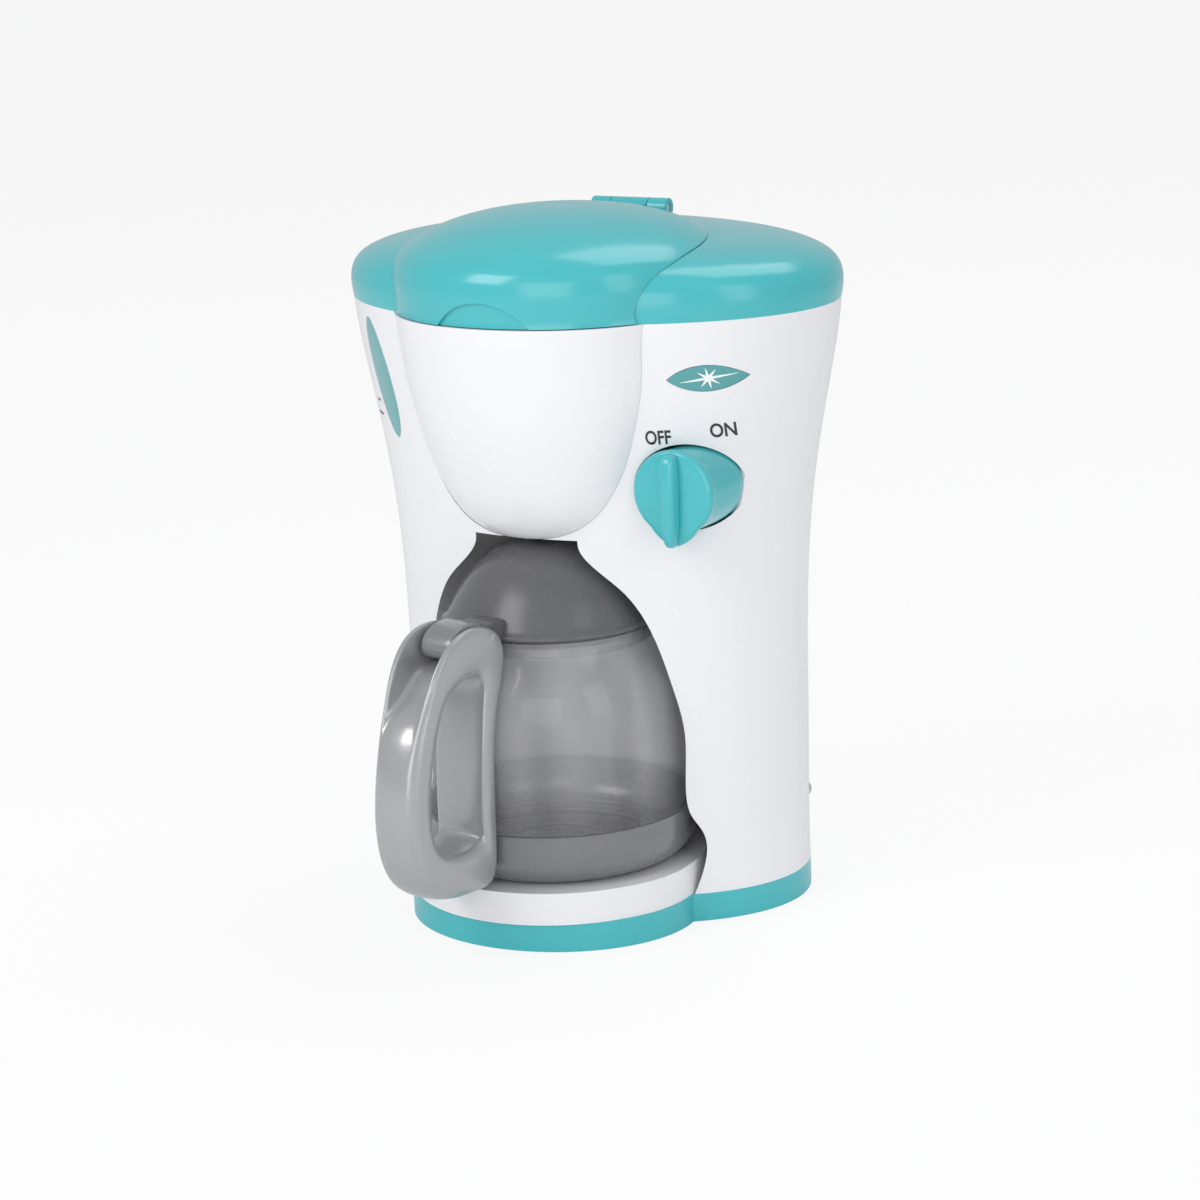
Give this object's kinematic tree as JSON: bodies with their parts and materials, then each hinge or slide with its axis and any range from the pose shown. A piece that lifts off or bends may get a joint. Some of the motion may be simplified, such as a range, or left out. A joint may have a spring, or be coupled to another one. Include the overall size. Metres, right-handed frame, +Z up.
{
  "type": "toy coffee maker",
  "caption": "Upright play coffee maker with an oval tower, round brew funnel, lift-up lid, turning knob and a pull-out clear carafe on a plate deck.",
  "frame": {"origin": "middle of the tower's oval plan, on the flat underside that rests on the table", "axes": "+Z up the tower, -Y to the front where the carafe stands, +X to the knob side"},
  "size_m": [0.1748, 0.1925, 0.237],
  "materials": {
    "teal_plastic": "glossy teal moulded plastic",
    "white_plastic": "glossy white moulded plastic",
    "grey_plastic": "glossy dark grey moulded plastic",
    "silver_plastic": "glossy silver-grey moulded plastic",
    "clear_plastic": "clear moulded plastic",
    "teal_clear": "translucent teal plastic",
    "black_plastic": "plain black plastic",
    "board_green": "circuit board",
    "cell_steel": "sleeved dry cells",
    "spring_steel": "plated steel",
    "pad_rubber": "soft rubber",
    "lamp_red": "tinted lamp"
  },
  "bodies": {
    "housing": {"base_pan": "teal_plastic", "foot_pads": "pad_rubber", "base_screws": "spring_steel", "plate_deck": "white_plastic", "front_housing": "white_plastic", "rear_housing": "white_plastic", "housing_screws": "spring_steel", "brew_funnel": "white_plastic", "drip_spout": "grey_plastic", "filter_basket": "white_plastic", "top_cover": "teal_plastic", "lid_hinge_pin": "spring_steel", "rotary_switch": "black_plastic", "switch_screws": "spring_steel", "light_lens": "teal_clear", "light_led": "lamp_red", "level_gauge": "teal_clear", "battery_box": "white_plastic", "batteries": "cell_steel", "battery_contacts": "spring_steel", "circuit_board": "board_green", "board_components": "black_plastic", "board_screws": "spring_steel", "speaker": "black_plastic"},
    "knob": {"control_knob": "teal_plastic", "knob_shaft": "white_plastic"},
    "funnel_lid": {"funnel_lid": "teal_plastic"},
    "carafe": {"carafe_cup": "grey_plastic", "carafe_jug": "clear_plastic", "carafe_handle": "silver_plastic", "carafe_lid_pin": "spring_steel"},
    "carafe_lid": {"carafe_lid": "grey_plastic"},
    "battery_door": {"battery_door": "white_plastic", "door_screw": "spring_steel"}
  },
  "joints": [
    {"name": "knob_turn", "type": "hinge", "parent": "housing", "child": "knob", "pos_m": [0.0535, -0.051, 0.1495], "axis": [0, 1, 0], "range_deg": [0, 45]},
    {"name": "funnel_lid_hinge", "type": "hinge", "parent": "housing", "child": "funnel_lid", "pos_m": [0, 0.029, 0.2298], "axis": [-1, 0, 0], "range_deg": [0, 75]},
    {"name": "carafe_pull", "type": "slide", "parent": "housing", "child": "carafe", "axis": [0, -1, 0], "range_m": [0, 0.14]},
    {"name": "carafe_lid_hinge", "type": "hinge", "parent": "carafe", "child": "carafe_lid", "pos_m": [-0.00561, -0.08396, 0.106], "axis": [0.9925, -0.1219, 0], "range_deg": [0, 1.4]},
    {"name": "battery_door_pull", "type": "slide", "parent": "housing", "child": "battery_door", "axis": [0, 1, 0], "range_m": [0, 0.03]}
  ]
}
